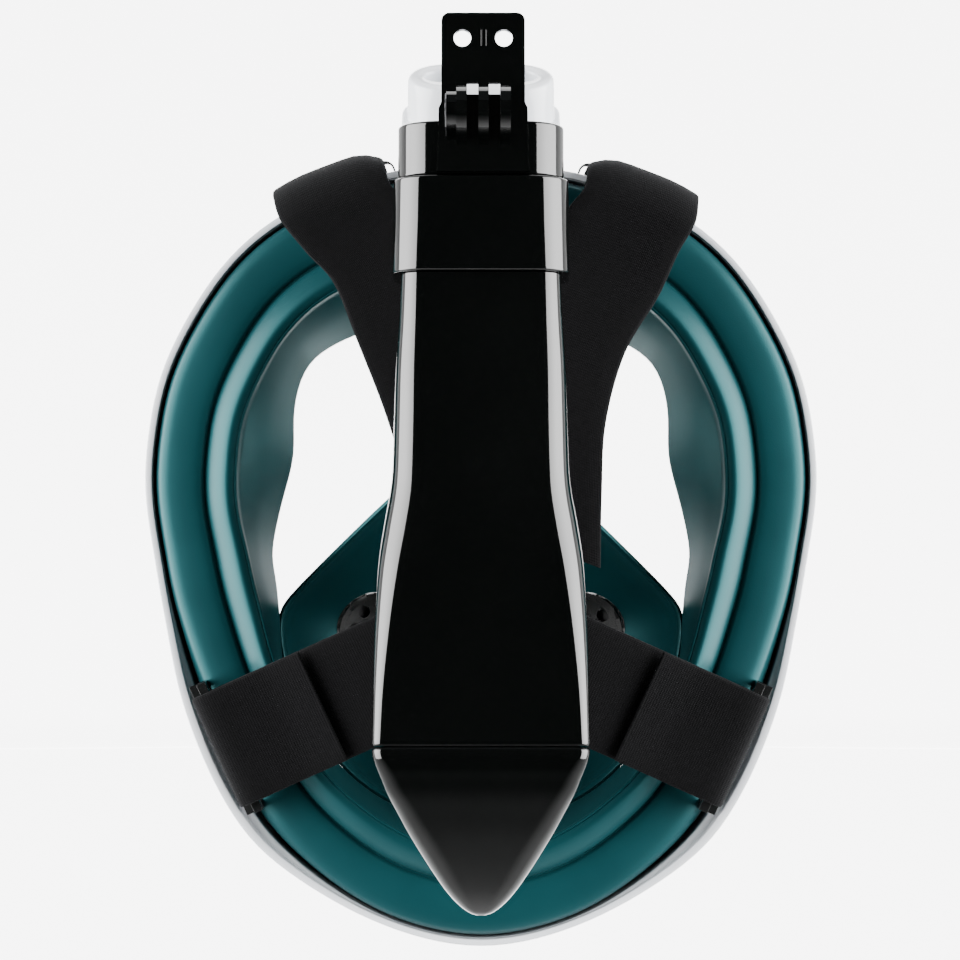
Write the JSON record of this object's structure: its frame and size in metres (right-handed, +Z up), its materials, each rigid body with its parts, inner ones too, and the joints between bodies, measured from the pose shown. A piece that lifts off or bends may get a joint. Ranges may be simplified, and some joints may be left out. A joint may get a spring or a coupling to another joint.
{
  "type": "full face snorkel mask",
  "caption": "Full face snorkel mask with a clear lens, soft face skirt, nose and mouth cup, head straps and a snorkel that folds down behind it.",
  "frame": {"origin": "centre plane, level with the nose bridge, in the plane where the skirt meets the face", "axes": "+X to the wearer's right as seen from behind, +Y out through the lens, +Z up"},
  "size_m": [0.1932, 0.1536, 0.2616],
  "materials": {
    "clear_lens": "clear polished polycarbonate",
    "white_plastic": "gloss white, slightly translucent",
    "black_plastic": "gloss black",
    "teal_silicone": "satin teal silicone",
    "black_rubber": "matte black rubber",
    "strap_webbing": "matte black elastic webbing",
    "steel": "plain steel",
    "float_foam": "closed-cell foam"
  },
  "bodies": {
    "mask": {"outer_frame": "white_plastic", "lens": "clear_lens", "face_skirt": "teal_silicone", "orinasal_cup": "teal_silicone", "exhale_duct_left": "teal_silicone", "exhale_duct_right": "teal_silicone", "inlet_seat_left": "black_plastic", "inlet_seat_right": "black_plastic", "strap_upper_left": "strap_webbing", "strap_upper_right": "strap_webbing", "strap_clip_left": "black_plastic", "strap_clip_right": "black_plastic", "strap_lower_left": "strap_webbing", "strap_lower_right": "strap_webbing", "strap_loop_left": "black_plastic", "strap_loop_right": "black_plastic", "purge_seat": "black_plastic", "purge_cover": "black_plastic", "harness_yoke": "strap_webbing", "neck": "white_plastic", "hinge_pin": "steel"},
    "snorkel": {"base_sleeve": "black_plastic", "sleeve_gasket": "black_rubber", "collar": "black_plastic", "tube_shell": "black_plastic", "tip_cap": "black_plastic", "inner_duct": "black_plastic", "float_seat": "black_plastic", "float_cage": "black_plastic", "latch_tongue": "black_plastic", "camera_nut": "steel"},
    "float_valve": {"float": "float_foam", "float_disc": "black_rubber"},
    "inlet_valve_left": {"inlet_flap_left": "black_rubber"},
    "inlet_valve_right": {"inlet_flap_right": "black_rubber"},
    "purge_valve": {"purge_flap": "black_rubber"}
  },
  "joints": [
    {"name": "snorkel_fold", "type": "hinge", "parent": "mask", "child": "snorkel", "pos_m": [0, -0.0046, 0.0963], "axis": [-1, 0, 0], "range_deg": [0, 148]},
    {"name": "float_slide", "type": "slide", "parent": "snorkel", "child": "float_valve", "axis": [0, 0.0872, 0.9962], "range_m": [0, 0.009]},
    {"name": "inlet_lift_left", "type": "slide", "parent": "mask", "child": "inlet_valve_left", "axis": [-0.4006, 0.8814, 0.2504], "range_m": [0, 0.0012], "stiffness_N_per_m": 60, "springref_m": -0.001},
    {"name": "inlet_lift_right", "type": "slide", "parent": "mask", "child": "inlet_valve_right", "axis": [0.4006, 0.8814, 0.2504], "range_m": [0, 0.0012], "stiffness_N_per_m": 60, "springref_m": -0.001},
    {"name": "purge_lift", "type": "slide", "parent": "mask", "child": "purge_valve", "axis": [0, 0.1191, -0.9929], "range_m": [0, 0.0012], "stiffness_N_per_m": 60, "springref_m": -0.001}
  ]
}
